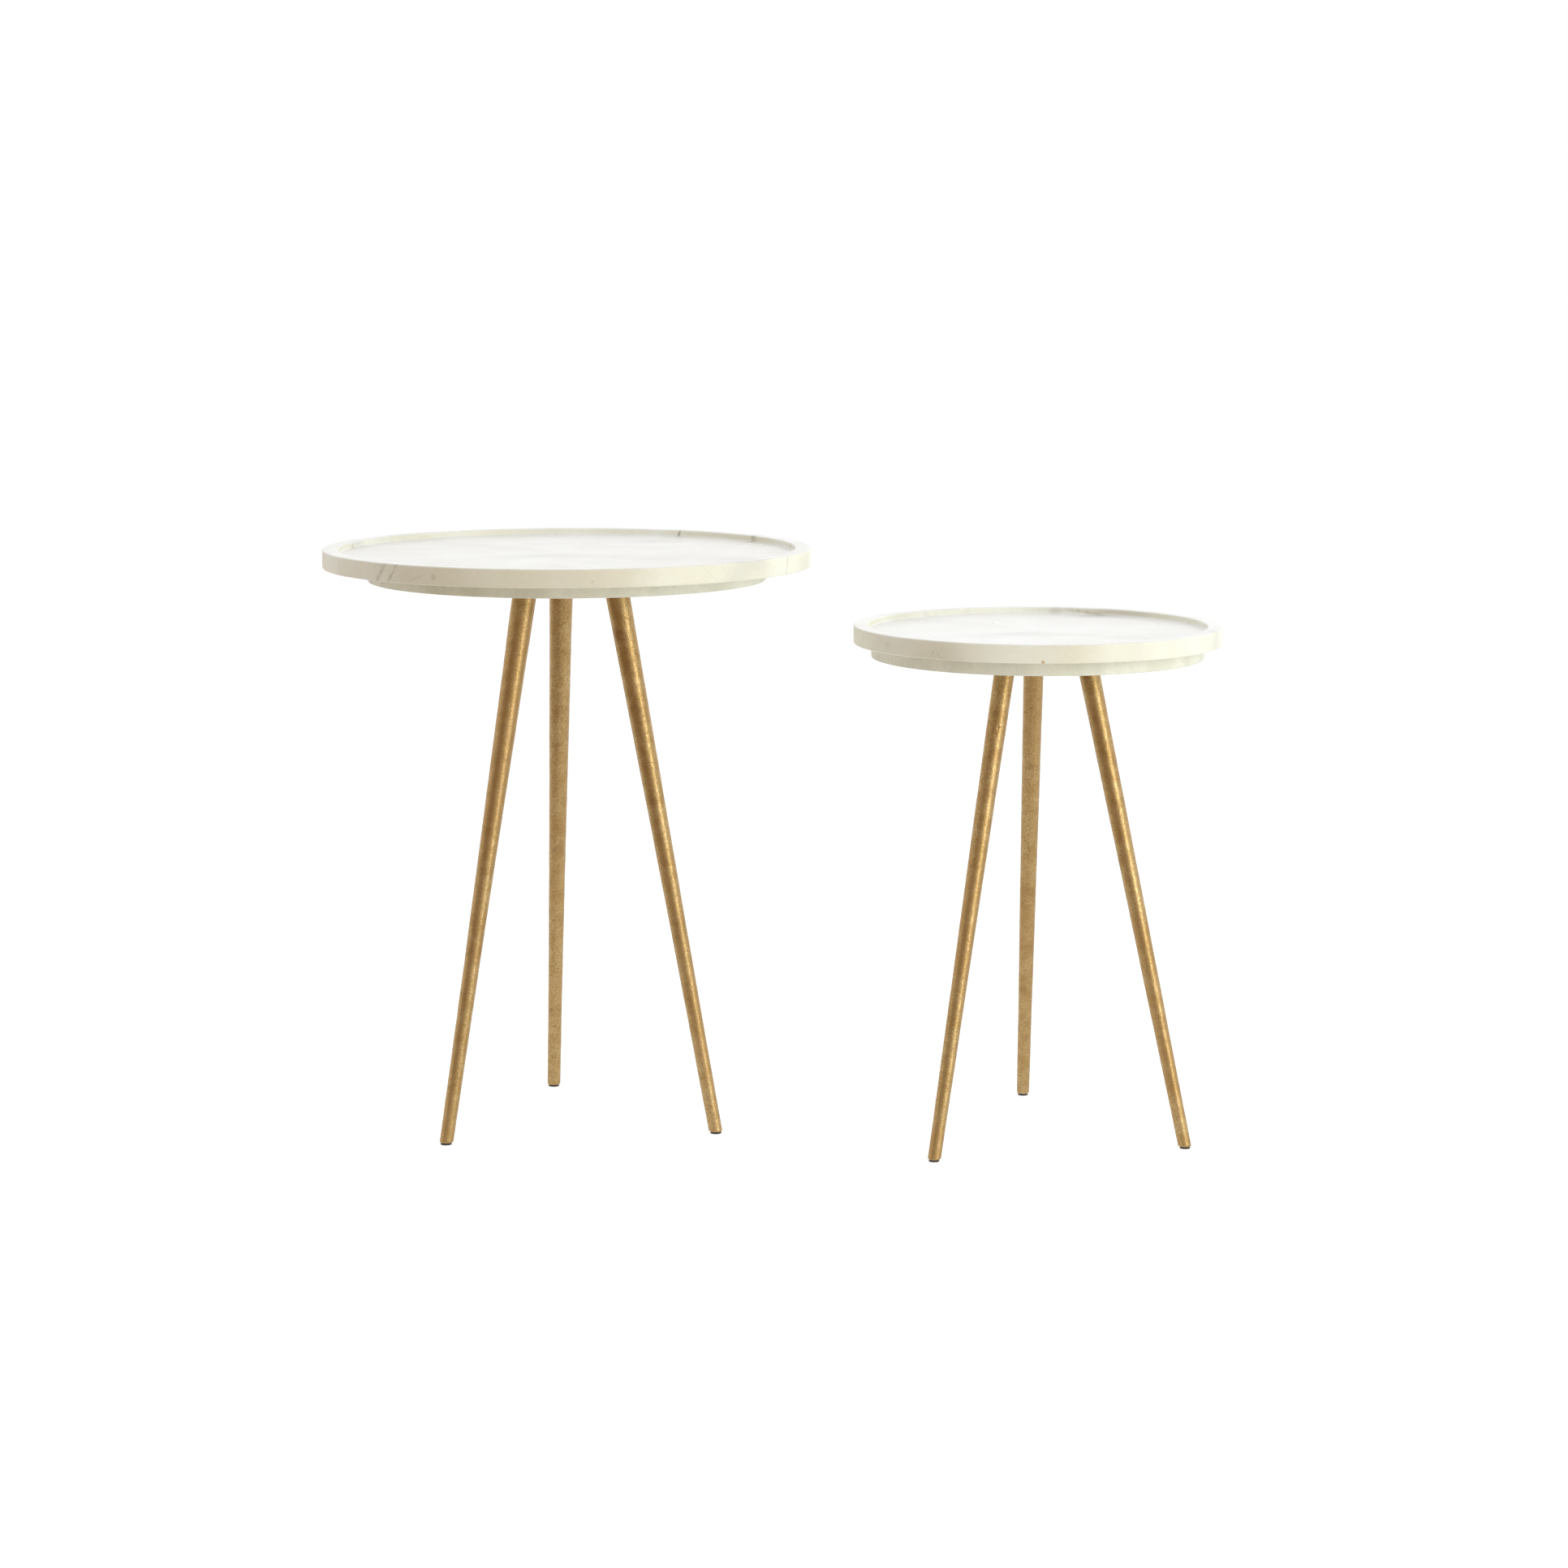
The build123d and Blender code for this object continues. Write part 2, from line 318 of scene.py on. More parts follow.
def honed_marble(name, centre, radius):
    """Honed marble of the base disc: matt, a little greyer and greener than the polished stone,
    with fine upright tool marks round its edge and faint ring marks underneath."""
    material, tree = new_material(name)
    here = add(tree, "ShaderNodeTexCoord").outputs["Object"]
    local = add(tree, "ShaderNodeMapping", {"Vector": here, "Location": [-c for c in centre]}).outputs[0]
    cloud = add(tree, "ShaderNodeTexNoise", {"Vector": local, "Scale": per(28), "Detail": 6.0,
                "Roughness": 0.6}).outputs[0]
    cloud = add(tree, "ShaderNodeMapRange", {"Value": cloud, "From Min": 0.35, "From Max": 0.65}).outputs[0]
    colour = blend(tree, cloud, "#EDEEE1", "#DFE0D1")
    mottle = add(tree, "ShaderNodeTexNoise", {"Vector": local, "Scale": per(4), "Detail": 5.0,
                 "Roughness": 0.75}).outputs[0]
    mottle = add(tree, "ShaderNodeMapRange", {"Value": mottle, "From Min": 0.3, "From Max": 0.7,
                 "To Min": 0.93, "To Max": 1.04}).outputs[0]
    # Upright marks about 1.4 mm apart round the edge; real ones are nearer half a millimetre.
    part = add(tree, "ShaderNodeSeparateXYZ", {0: local})
    turn = add(tree, "ShaderNodeMath", {0: part.outputs["Y"], 1: part.outputs["X"]},
               operation="ARCTAN2").outputs[0]
    out = add(tree, "ShaderNodeVectorMath", {0: local}, operation="LENGTH").outputs["Value"]
    marks = add(tree, "ShaderNodeTexNoise", {"W": turn, "Scale": radius / (1.4 * MM), "Detail": 3.0},
                noise_dimensions="1D").outputs[0]
    rings = add(tree, "ShaderNodeTexNoise", {"W": out, "Scale": per(2.5), "Detail": 3.0},
                noise_dimensions="1D").outputs[0]
    normal = add(tree, "ShaderNodeNewGeometry").outputs["Normal"]
    rise = add(tree, "ShaderNodeSeparateXYZ", {0: normal}).outputs["Z"]
    flat = add(tree, "ShaderNodeMath", {0: rise}, operation="ABSOLUTE").outputs[0]
    tool = add(tree, "ShaderNodeMix", {0: flat, 2: marks, 3: rings}, data_type="FLOAT").outputs[0]
    shade = add(tree, "ShaderNodeMapRange", {"Value": tool, "From Min": 0.3, "From Max": 0.7,
                "To Min": 0.975, "To Max": 1.02}).outputs[0]
    shade = add(tree, "ShaderNodeMath", {0: shade, 1: mottle}, operation="MULTIPLY").outputs[0]
    colour = add(tree, "ShaderNodeVectorMath", {0: colour, "Scale": shade}, operation="SCALE").outputs[0]
    rough = add(tree, "ShaderNodeMapRange", {"Value": cloud, "To Min": 0.55, "To Max": 0.72}).outputs[0]
    bump = add(tree, "ShaderNodeBump", {"Height": tool, "Strength": 0.35, "Distance": 0.0002}).outputs[0]
    surface = add(tree, "ShaderNodeBsdfPrincipled", {"Base Color": colour, "Roughness": rough,
                  "IOR": 1.55, "Normal": bump})
    add(tree, "ShaderNodeOutputMaterial", {"Surface": surface.outputs[0]})
    return material


def antique_cast_brass(name, seed):
    """Sand-cast brass with an antique finish: satin gold with brown patina in the low spots, a
    granular skin left by the sand, and a thin clear lacquer that whitens its edges."""
    material, tree = new_material(name)
    here = add(tree, "ShaderNodeTexCoord").outputs["Object"]
    # Each leg is cut from its own place in the pattern.
    shift = (seed * 0.37, seed * 0.11, seed * 0.73)
    own = add(tree, "ShaderNodeMapping", {"Vector": here, "Location": shift}).outputs[0]
    # Sand skin: grains about 1.5 mm across, three times the real size so that they show, in shallow
    # patches about 14 mm across.
    sand = add(tree, "ShaderNodeTexNoise", {"Vector": own, "Scale": per(1.5), "Detail": 3.0,
               "Roughness": 0.6}).outputs[0]
    cells = add(tree, "ShaderNodeTexVoronoi", {"Vector": own, "Scale": per(1.9)},
                feature="F1").outputs["Distance"]
    patch = add(tree, "ShaderNodeTexNoise", {"Vector": own, "Scale": per(14), "Detail": 4.0}).outputs[0]
    patch = add(tree, "ShaderNodeMapRange", {"Value": patch, "From Min": 0.36, "From Max": 0.64}).outputs[0]
    low = add(tree, "ShaderNodeMapRange", {"Value": sand, "From Min": 0.34, "From Max": 0.62}).outputs[0]
    tone = blend(tree, patch, "#BA9A63", "#CBAF7C")
    dark = add(tree, "ShaderNodeMapRange", {"Value": low, "To Min": 0.6, "To Max": 0.0}).outputs[0]
    tone = blend(tree, dark, tone, "#866237")
    # Brown stains about 20 mm across that the finisher left in.
    stain = add(tree, "ShaderNodeTexNoise", {"Vector": own, "Scale": per(20), "Detail": 5.0,
                "Roughness": 0.6}).outputs[0]
    stain = add(tree, "ShaderNodeMapRange", {"Value": stain, "From Min": 0.56, "From Max": 0.72,
                "To Max": 0.55}).outputs[0]
    tone = blend(tree, stain, tone, "#8A6236")
    # Longer drifts of patina, about 60 mm, browner and duller.
    drift = add(tree, "ShaderNodeTexNoise", {"Vector": own, "Scale": per(60), "Detail": 2.0}).outputs[0]
    drift = add(tree, "ShaderNodeMapRange", {"Value": drift, "From Min": 0.45, "From Max": 0.65,
                "To Max": 0.5}).outputs[0]
    tone = blend(tree, drift, tone, "#AF8B58")
    rough = add(tree, "ShaderNodeMapRange", {"Value": low, "To Min": 0.50, "To Max": 0.34}).outputs[0]
    coarse = add(tree, "ShaderNodeBump", {"Height": sand, "Strength": 0.42, "Distance": 0.0004}).outputs[0]
    skin = add(tree, "ShaderNodeBump", {"Height": cells, "Strength": 0.22, "Distance": 0.0003,
               "Normal": coarse}).outputs[0]
    surface = add(tree, "ShaderNodeBsdfPrincipled", {"Base Color": tone, "Metallic": 1.0,
                  "Roughness": rough, "Coat Weight": 0.25, "Coat Roughness": 0.35, "Normal": skin})
    add(tree, "ShaderNodeOutputMaterial", {"Surface": surface.outputs[0]})
    return material


def stone_resin(name):
    """Knife-grade stone adhesive: amber, slightly cloudy, with a soft shine where it set."""
    material, tree = new_material(name)
    here = add(tree, "ShaderNodeTexCoord").outputs["Object"]
    cloud = add(tree, "ShaderNodeTexNoise", {"Vector": here, "Scale": per(6), "Detail": 5.0}).outputs[0]
    cloud = add(tree, "ShaderNodeMapRange", {"Value": cloud, "From Min": 0.35, "From Max": 0.65}).outputs[0]
    colour = blend(tree, cloud, "#D9C08A", "#BE9650")
    rough = add(tree, "ShaderNodeMapRange", {"Value": cloud, "To Min": 0.28, "To Max": 0.45}).outputs[0]
    bump = add(tree, "ShaderNodeBump", {"Height": cloud, "Strength": 0.4, "Distance": 0.0003}).outputs[0]
    surface = add(tree, "ShaderNodeBsdfPrincipled", {"Base Color": colour, "Roughness": rough, "IOR": 1.52,
                  "Normal": bump})
    add(tree, "ShaderNodeOutputMaterial", {"Surface": surface.outputs[0]})
    return material


def zinc_plated_steel(name):
    """Bright zinc on cold-headed steel: cool grey with a faint yellow and blue passivate bloom."""
    material, tree = new_material(name)
    here = add(tree, "ShaderNodeTexCoord").outputs["Object"]
    bloom = add(tree, "ShaderNodeTexNoise", {"Vector": here, "Scale": per(5), "Detail": 3.0}).outputs[0]
    bloom = add(tree, "ShaderNodeMapRange", {"Value": bloom, "From Min": 0.4, "From Max": 0.6}).outputs[0]
    colour = blend(tree, bloom, "#C9CBD1", "#CFCBB9")
    spangle = add(tree, "ShaderNodeTexVoronoi", {"Vector": here, "Scale": per(0.8)}).outputs["Distance"]
    rough = add(tree, "ShaderNodeMapRange", {"Value": spangle, "To Min": 0.28, "To Max": 0.42}).outputs[0]
    bump = add(tree, "ShaderNodeBump", {"Height": spangle, "Strength": 0.15, "Distance": 0.0001}).outputs[0]
    surface = add(tree, "ShaderNodeBsdfPrincipled", {"Base Color": colour, "Metallic": 1.0,
                  "Roughness": rough, "Normal": bump})
    add(tree, "ShaderNodeOutputMaterial", {"Surface": surface.outputs[0]})
    return material


def turned_brass(name):
    """Free-cutting brass from the lathe: clean yellow with fine turning lines across its axis."""
    material, tree = new_material(name)
    here = add(tree, "ShaderNodeTexCoord").outputs["Object"]
    height = add(tree, "ShaderNodeSeparateXYZ", {0: here}).outputs["Z"]
    lines = add(tree, "ShaderNodeTexNoise", {"W": height, "Scale": per(0.25), "Detail": 2.0},
                noise_dimensions="1D").outputs[0]
    stain = add(tree, "ShaderNodeTexNoise", {"Vector": here, "Scale": per(4), "Detail": 3.0}).outputs[0]
    colour = blend(tree, stain, "#D9B968", "#C19A4B")
    rough = add(tree, "ShaderNodeMapRange", {"Value": lines, "To Min": 0.18, "To Max": 0.34}).outputs[0]
    bump = add(tree, "ShaderNodeBump", {"Height": lines, "Strength": 0.3, "Distance": 0.0001}).outputs[0]
    surface = add(tree, "ShaderNodeBsdfPrincipled", {"Base Color": colour, "Metallic": 1.0,
                  "Roughness": rough, "Normal": bump})
    add(tree, "ShaderNodeOutputMaterial", {"Surface": surface.outputs[0]})
    return material


def black_rubber(name):
    """Moulded rubber of the foot pads: near black, matt, greyer where dust has rubbed in."""
    material, tree = new_material(name)
    here = add(tree, "ShaderNodeTexCoord").outputs["Object"]
    dust = add(tree, "ShaderNodeTexNoise", {"Vector": here, "Scale": per(3), "Detail": 5.0}).outputs[0]
    dust = add(tree, "ShaderNodeMapRange", {"Value": dust, "From Min": 0.4, "From Max": 0.7}).outputs[0]
    colour = blend(tree, dust, "#2B2723", "#4A443D")
    rough = add(tree, "ShaderNodeMapRange", {"Value": dust, "To Min": 0.62, "To Max": 0.85}).outputs[0]
    bump = add(tree, "ShaderNodeBump", {"Height": dust, "Strength": 0.3, "Distance": 0.0002}).outputs[0]
    surface = add(tree, "ShaderNodeBsdfPrincipled", {"Base Color": colour, "Roughness": rough, "IOR": 1.5,
                  "Normal": bump})
    add(tree, "ShaderNodeOutputMaterial", {"Surface": surface.outputs[0]})
    return material


# ---------------------------------------------------------------- trays

def arc(centre_r, centre_z, radius, start, end, steps):
    """Points of a profile arc, angles in degrees from outward towards up, ends included."""
    turns = np.radians(np.linspace(start, end, steps + 1))
    return [(centre_r + radius * math.cos(a), centre_z + radius * math.sin(a)) for a in turns]


def between(start, end, steps):
    """Points of a straight profile stretch, its own ends left out."""
    return [tuple(np.array(start) + (np.array(end) - np.array(start)) * i / steps) for i in range(1, steps)]


def tray_profile(size, floor_height):
    """Half section of a tray in metres, from the middle of its recess round to its underside."""
    low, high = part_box(size + "_tray")
    outer = (high.x - low.x) / 2
    inner = outer - RIM_WIDTH[size] * MM
    a = ARRIS * MM
    c = RECESS_CORNER * MM
    floor_end = arc(inner - c, floor_height + c, c, -90, 0, 6)
    rim_in = arc(inner + a, high.z - a, a, 180, 90, 5)
    rim_out = arc(outer - a, high.z - a, a, 90, 0, 5)
    foot = arc(outer - a, low.z + a, a, 0, -90, 5)
    path = [(HUB + (inner - c - HUB) * i / 12, floor_height) for i in range(12)]
    path += floor_end + between(floor_end[-1], rim_in[0], 2)
    path += rim_in + between(rim_in[-1], rim_out[0], 5)
    path += rim_out + between(rim_out[-1], foot[0], 6)
    path += foot + [(HUB + (outer - a - HUB) * (8 - i) / 9, low.z) for i in range(9)]
    return np.array(path)


def make_tray(size, seed, around):
    """A tray turned from its section, with the slight wander of hand-worked arrises and a few tiny
    chips along them."""
    surface = size + "_tray_surface"
    floor_height = next(i["pos_m"][2] for i in frame["record"]["mounts"] if i["name"] == surface)
    low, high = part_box(size + "_tray")
    middle = (low + high) / 2
    outer = (high.x - low.x) / 2
    path = tray_profile(size, floor_height)
    turns = np.linspace(0, 2 * math.pi, around, endpoint=False)
    r = np.repeat(path[:, 0], around)
    z = np.repeat(path[:, 1], around)
    t = np.tile(turns, len(path))
    out = np.stack((np.cos(t), np.sin(t), np.zeros(len(t))), axis=1)
    points = out * r[:, None]
    points[:, 2] = z
    # The wander is strongest on the rim and dies away on the flat faces.
    rim = np.clip((r - (outer - 0.022)) / 0.006, 0, 1)
    wander = lumps(points, 0.030, seed) * 0.10 * MM + lumps(points, 0.008, seed + 3) * 0.05 * MM
    points += out * (wander * rim)[:, None]
    rise = lumps(points, 0.022, seed + 5) * 0.10 * MM + lumps(points, 0.006, seed + 6) * 0.04 * MM
    points[:, 2] += rise * rim
    # Chips: shallow dents centred on the rim's outer arrises.
    rng = np.random.default_rng(seed)
    for _ in range(CHIPS):
        angle = rng.uniform(0, 2 * math.pi)
        height = high.z if rng.random() < 0.6 else low.z
        reach = rng.uniform(1.2, 2.6) * MM
        depth = rng.uniform(0.15, 0.5) * MM
        seat = np.array((outer * math.cos(angle), outer * math.sin(angle), height))
        gap = np.linalg.norm(points - seat, axis=1)
        near = gap < reach
        pull = depth * (1 - (gap[near] / reach) ** 2) ** 2
        points[near] -= out[near] * pull[:, None] * 0.7
        points[near, 2] += pull * (0.7 if height < middle.z else -0.7)
    points[:, 0] += middle.x
    points[:, 1] += middle.y
    points = np.vstack((points, (middle.x, middle.y, path[0, 1]), (middle.x, middle.y, path[-1, 1])))
    return mesh_piece(size + "_marble_tray", points, turned_faces(len(path), around))


# ---------------------------------------------------------------- resin bond

def make_bond(size, seed):
    """The resin layer between tray and base disc: a thin disc whose edge squeezed out unevenly, with
    a few small beads that ran down the disc."""
    low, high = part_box(size + "_resin_bond")
    disc_low, disc_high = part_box(size + "_base_disc")
    middle = (low + high) / 2
    edge = (high.x - low.x) / 2
    disc = (disc_high.x - disc_low.x) / 2
    around = SEAM_AROUND
    turns = np.linspace(0, 2 * math.pi, around, endpoint=False)
    out = np.stack((np.cos(turns), np.sin(turns), np.zeros(around)), axis=1)
    rim = edge + (0.25 + 0.35 * lumps(out * edge, 0.012, seed)) * MM
    rng = np.random.default_rng(seed)
    bead = np.zeros(around)
    for _ in range(BEADS):
        angle = rng.uniform(0, 2 * math.pi)
        spread = rng.uniform(1.2, 3.0) * MM / disc
        turn = np.abs((turns - angle + math.pi) % (2 * math.pi) - math.pi)
        bead = np.maximum(bead, rng.uniform(0.4, 1.0) * np.exp(-(turn / spread) ** 2))
    thick = high.z - low.z
    rows = []
    # Down the seam's edge: how deep in the layer, how far a bead stands out, then how far it hangs.
    seam_rows = ((0.0, 0.0, 0.0), (0.35, 0.75, 0.0), (0.9, 0.85, 0.0), (1.0, 0.55, 0.6), (1.0, 0.0, 1.0))
    for depth, run, hang in seam_rows:
        radius = rim * (1 - bead) + (disc + 0.55 * run * MM) * bead
        drop = depth * thick * (1 + 1.8 * bead)
        if hang > 0:
            radius = np.where(bead > 0.02, radius, rim - 0.15 * MM)
            drop = thick + 1.3 * MM * bead * hang
        rows.append(np.stack((out[:, 0] * radius, out[:, 1] * radius, high.z - drop), axis=1))
    inside = edge - 4 * MM
    rows.append(np.stack((out[:, 0] * inside, out[:, 1] * inside, np.full(around, low.z)), axis=1))
    points = np.vstack(rows)
    points[:, 0] += middle.x
    points[:, 1] += middle.y
    points = np.vstack((points, (middle.x, middle.y, high.z), (middle.x, middle.y, low.z)))
    return mesh_piece(size + "_resin_seam", points, turned_faces(len(rows), around))


# ---------------------------------------------------------------- legs

def leg_axis(node):
    """The ends of a leg's axis, the unit direction down it, its length, the curve of its radius, and
    how deep its stud hole goes."""
    co = vertices_of(node)
    top = co[:, 2].max()
    sole = co[:, 2].min()
    head = co[co[:, 2] > top - LEVEL]
    head = head[np.linalg.norm(head - head.mean(0), axis=1) > 0.007]
    upper = (head.max(0) + head.min(0)) / 2
    foot = co[co[:, 2] < sole + LEVEL]
    lower = (foot.max(0) + foot.min(0)) / 2
    down = (lower - upper) / np.linalg.norm(lower - upper)
    along = (co - upper) @ down
    radius = np.linalg.norm(co - upper - along[:, None] * down, axis=1)
    skin = (radius > BORE_LIMIT) & (co[:, 2] > sole + 0.002)
    length = np.linalg.norm(lower - upper)
    curve = np.polyfit(along[skin] / length, radius[skin], 6)
    bore = along[(radius < BORE_LIMIT) & (co[:, 2] > top - 0.06)]
    return upper, lower, down, length, curve, bore.max()


def make_leg(size, which, seed, pits):
    """A cast leg: a long swelling taper cut level at the disc and at the sole, with the faint
    unevenness of hand-dressed sand casting, its sole edge eased and its stud hole drilled."""
    node = size + "_leg_" + which
    upper, lower, down, length, curve, bore_depth = leg_axis(node)
    around = LEG_AROUND
    side = np.cross(down, (0, 0, 1.0))
    side /= np.linalg.norm(side)
    front = np.cross(side, down)
    turns = np.linspace(0, 2 * math.pi, around, endpoint=False)
    out = np.cos(turns)[:, None] * side + np.sin(turns)[:, None] * front

    def level_ring(height, radius_of):
        """Where the leg's surface meets a level plane."""
        along = np.full(around, (upper[2] - height) / -down[2])
        for _ in range(4):
            radius = radius_of(along)
            along = (height - upper[2] - radius * out[:, 2]) / down[2]
        return upper + along[:, None] * down + radius[:, None] * out

    def skin_radius(along):
        return np.polyval(curve, along / length)

    sole = lower[2]
    a = FOOT_ARRIS * MM
    eased = [a * (1 - math.cos(math.radians(s))) for s in (0, 18, 36, 54, 72, 90)]
    heights = [sole + h for h in eased] + list(np.linspace(sole + a, upper[2], LEG_RINGS)[1:])
    rings = []
    for height in heights:
        rise = height - sole
        inset = a - math.sqrt(max(a * a - (a - rise) ** 2, 0)) if rise < a else 0.0
        rings.append(level_ring(height, lambda along: skin_radius(along) - inset))
    body = np.vstack(rings)
    # Cast and hand-dressed surface: long soft waves, shorter lumps and a grainy skin.
    centre = np.vstack([np.tile(r.mean(0), (around, 1)) for r in rings])
    push = body - centre
    push /= np.linalg.norm(push, axis=1)[:, None]
    swell = lumps(body, 0.045, seed) * 0.14 + lumps(body, 0.016, seed + 1) * 0.09
    swell += lumps(body, 0.005, seed + 2) * 0.05 + lumps(body, 0.0022, seed + 4) * 0.03
    ends = np.clip((body[:, 2] - sole - 0.001) / 0.004, 0, 1)
    ends = ends * np.clip((upper[2] - body[:, 2]) / 0.003, 0, 1)
    body += push * (swell * MM * ends)[:, None]
    for from_top, turn, long, wide, depth in pits:
        seat_along = from_top * MM
        a_turn = math.radians(turn)
        facing = np.array((math.sin(a_turn), -math.cos(a_turn), 0))
        seat = upper + down * seat_along + facing * skin_radius(seat_along)
        gap = body - seat
        up_gap = gap @ down / (long * MM)
        cross = gap - (gap @ down)[:, None] * down
        wide_gap = np.linalg.norm(cross, axis=1) / (wide * MM)
        far = np.sqrt(up_gap ** 2 + wide_gap ** 2)
        near = far < 1
        body[near] -= push[near] * (depth * MM * (1 - far[near] ** 2) ** 1.5)[:, None]

    bore = 0.5 * MM * STUD_HOLE
    mouth = level_ring(upper[2], lambda along: np.full(around, bore))
    half = (rings[-1] + mouth) / 2
    deep = upper + down * bore_depth + out * bore
    points = [body, half, mouth, deep, (upper + down * (bore_depth + 0.002))[None]]
    count = len(body) + 3 * around
    faces = ring_faces(len(rings) + 3, around)
    for k in range(around):
        faces.append((count - around + k, count - around + (k + 1) % around, count))
    inner = rings[0] * 0.5 + rings[0].mean(0) * 0.5
    points += [inner, rings[0].mean(0)[None]]
    first = count + 1
    for k in range(around):
        nxt = (k + 1) % around
        faces.append((first + k, first + nxt, nxt, k))
        faces.append((first + nxt, first + k, first + around))
    return mesh_piece(node.replace("_leg_", "_cast_leg_"), np.vstack(points), faces, 50)


# ---------------------------------------------------------------- build the tables

# A vein is bearing, inset, height, lean, half width, reach, strength and colour; a fleck is bearing,
# inset, height, radius, strength and colour; a painted shade tan, which darkens the cut edge where it
# lies in shade, is bearing, radius and strength. Bearings and leans are degrees, lengths are millimetres.
# Face tones are painted a cooler white than the cut edge: a painted reflection of the white backdrop on
# each top.
marble = {
    "large": dict(
        face_tones_with_painted_reflection=("#EEEDE9", "#E9E7E0"),
        veins=[(-128, 0, 1, 34, 4.2, 18, 0.48, "#8C8474"),
               (-124, 0, 0, 34, 2.2, 24, 0.48, "#938B7B"),
               (-117, 0, -3, 70, 1.6, 14, 0.35, "#9C937F"),
               (-20, 3, 0, 6, 1.3, 30, 0.45, "#A59D8C"),
               (68, 14, 3, -8, 2.0, 11, 0.70, "#6E675C"),
               (41, 13, 3, 30, 6.0, 34, 0.50, "#8A857B"),
               (17, 12, 3, 42, 2.0, 34, 0.50, "#8F8678"),
               (-160, 5, 4, 60, 3.0, 30, 0.25, "#A29985")],
        flecks=[(172, 15, 4, 5.0, 0.40, "#B59C6C"), (-112, 0, -1, 4.0, 0.30, "#A9987A"),
                (-163, 0, 3, 3.5, 0.25, "#AFA288"), (-75, 0, -3, 2.0, 0.25, "#B4A37D")],
        painted_shade_tans=[(-108, 120, 0.22), (-76, 80, 0.34), (45, 110, 0.3)]),
    "small": dict(
        face_tones_with_painted_reflection=("#F3F2F0", "#EFEEEA"),
        veins=[(-121, 0, -3, 24, 0.9, 7, 0.60, "#978C75"),
               (-119, 0, -5, -24, 0.8, 6, 0.50, "#A0927A"),
               (72, 14, 3, 84, 2.4, 40, 0.50, "#A0947C"),
               (-158, 3, 0, 40, 2.6, 26, 0.18, "#B0A78F")],
        flecks=[(-86, 0, -8, 2.6, 0.7, "#B58A4E"), (-140, 0, 0, 5.0, 0.12, "#B7A77F"),
                (86, 14, 3, 9.0, 0.25, "#A99A7C")],
        painted_shade_tans=[(-118, 80, 0.20), (-78, 50, 0.20), (60, 90, 0.45)]),
}
# A pit is its distance from the leg's top, its bearing from the front, its half length, half width
# and depth.
leg_pits = {
    "small_left": [(61, 12, 2.4, 1.3, 0.7), (67, 2, 1.6, 1.1, 0.5), (73, 22, 1.2, 0.9, 0.35)],
    "small_back": [(55, -6, 3.0, 1.1, 0.6), (70, 14, 1.3, 1.0, 0.4)],
    "small_right": [(150, 30, 1.2, 1.0, 0.3)],
    "large_left": [(92, -20, 1.4, 1.0, 0.35)],
    "large_back": [(120, 10, 1.3, 0.9, 0.3), (505, 5, 2.0, 1.2, 0.35)],
    "large_right": [(40, 16, 1.4, 1.1, 0.35)],
}

zinc = zinc_plated_steel("zinc_plated_steel")
insert_brass = turned_brass("turned_brass")
rubber = black_rubber("black_rubber")
resin = stone_resin("stone_resin")


def wear(node, material):
    """Gives a CAD node its better material."""
    mesh_object = frame["nodes"][node]
    mesh_object.data.materials.clear()
    mesh_object.data.materials.append(material)


for number, size in enumerate(("large", "small")):
    body = size + "_table"
    low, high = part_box(size + "_tray")
    centre = (low + high) / 2

    tray = make_tray(size, TRAY_SEED + number, TRAY_AROUND[size])
    tray.data.materials.append(polished_marble(size + "_polished_marble", centre, (high.x - low.x) / 2,
                                               **marble[size]))
    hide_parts(size + "_tray")
    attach(tray, body)

    seam = make_bond(size, SEAM_SEED + number)
    seam.data.materials.append(resin)
    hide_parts(size + "_resin_bond")
    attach(seam, body)

    disc_low, disc_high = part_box(size + "_base_disc")
    honed = honed_marble(size + "_honed_marble", (disc_low + disc_high) / 2, (disc_high.x - disc_low.x) / 2)
    wear(size + "_base_disc", honed)

    for place, which in enumerate(LEG_NAMES):
        seed = LEG_SEED + 7 * number + place
        leg = make_leg(size, which, seed, leg_pits.get(size + "_" + which, []))
        leg.data.materials.append(antique_cast_brass(size + "_" + which + "_cast_brass", seed))
        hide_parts(size + "_leg_" + which)
        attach(leg, body)
        wear(size + "_stud_" + which, zinc)
        wear(size + "_insert_" + which, insert_brass)
        wear(size + "_foot_pad_" + which, rubber)


# ---------------------------------------------------------------- floor, light and surroundings

